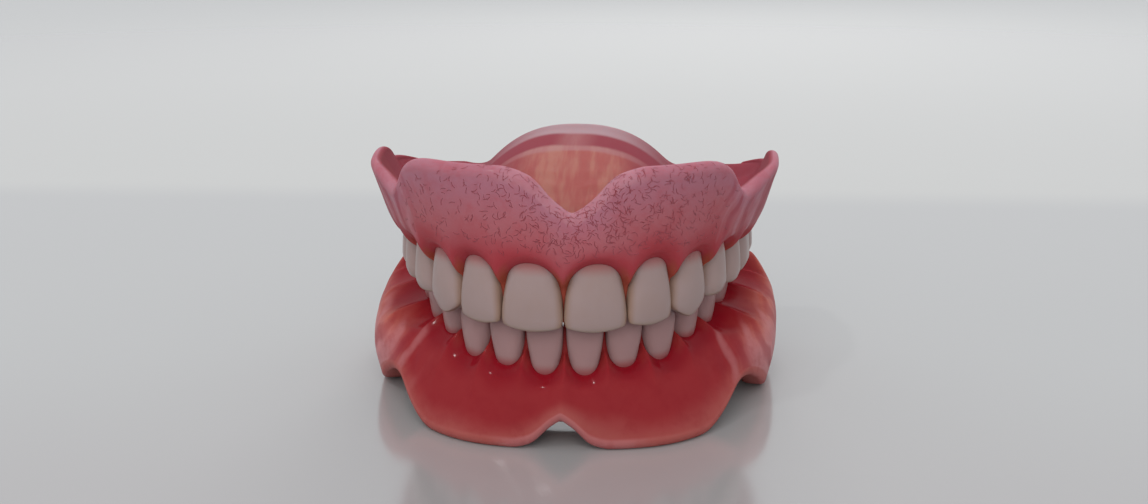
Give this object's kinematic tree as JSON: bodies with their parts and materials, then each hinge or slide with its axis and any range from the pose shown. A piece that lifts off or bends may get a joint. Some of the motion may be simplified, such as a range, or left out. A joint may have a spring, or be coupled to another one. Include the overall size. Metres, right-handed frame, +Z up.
{
  "type": "full denture",
  "caption": "Upper and lower full dentures in bite: pink acrylic bases with set resin teeth, standing on the lower base's borders.",
  "frame": {"origin": "centre of the bounding box's bottom, on the surface the lower denture stands on", "axes": "+X to the wearer's left, +Y to the back of the mouth, +Z up"},
  "size_m": [0.0654, 0.0514, 0.0392],
  "materials": {
    "pink_acrylic_upper": "polished translucent pink acrylic with fine dark red fibres",
    "pink_acrylic_lower": "polished translucent coral red acrylic",
    "tooth_resin_upper": "polished layered tooth resin, warmer at the neck",
    "tooth_resin_lower": "polished layered tooth resin, warmer at the neck"
  },
  "bodies": {
    "root": {"upper_base": "pink_acrylic_upper", "lower_base": "pink_acrylic_lower", "upper_left_central_incisor": "tooth_resin_upper", "upper_left_lateral_incisor": "tooth_resin_upper", "upper_left_canine": "tooth_resin_upper", "upper_left_first_premolar": "tooth_resin_upper", "upper_left_second_premolar": "tooth_resin_upper", "upper_left_first_molar": "tooth_resin_upper", "upper_left_second_molar": "tooth_resin_upper", "upper_right_central_incisor": "tooth_resin_upper", "upper_right_lateral_incisor": "tooth_resin_upper", "upper_right_canine": "tooth_resin_upper", "upper_right_first_premolar": "tooth_resin_upper", "upper_right_second_premolar": "tooth_resin_upper", "upper_right_first_molar": "tooth_resin_upper", "upper_right_second_molar": "tooth_resin_upper", "lower_left_central_incisor": "tooth_resin_lower", "lower_left_lateral_incisor": "tooth_resin_lower", "lower_left_canine": "tooth_resin_lower", "lower_left_first_premolar": "tooth_resin_lower", "lower_left_second_premolar": "tooth_resin_lower", "lower_left_first_molar": "tooth_resin_lower", "lower_left_second_molar": "tooth_resin_lower", "lower_right_central_incisor": "tooth_resin_lower", "lower_right_lateral_incisor": "tooth_resin_lower", "lower_right_canine": "tooth_resin_lower", "lower_right_first_premolar": "tooth_resin_lower", "lower_right_second_premolar": "tooth_resin_lower", "lower_right_first_molar": "tooth_resin_lower", "lower_right_second_molar": "tooth_resin_lower"}
  },
  "joints": []
}
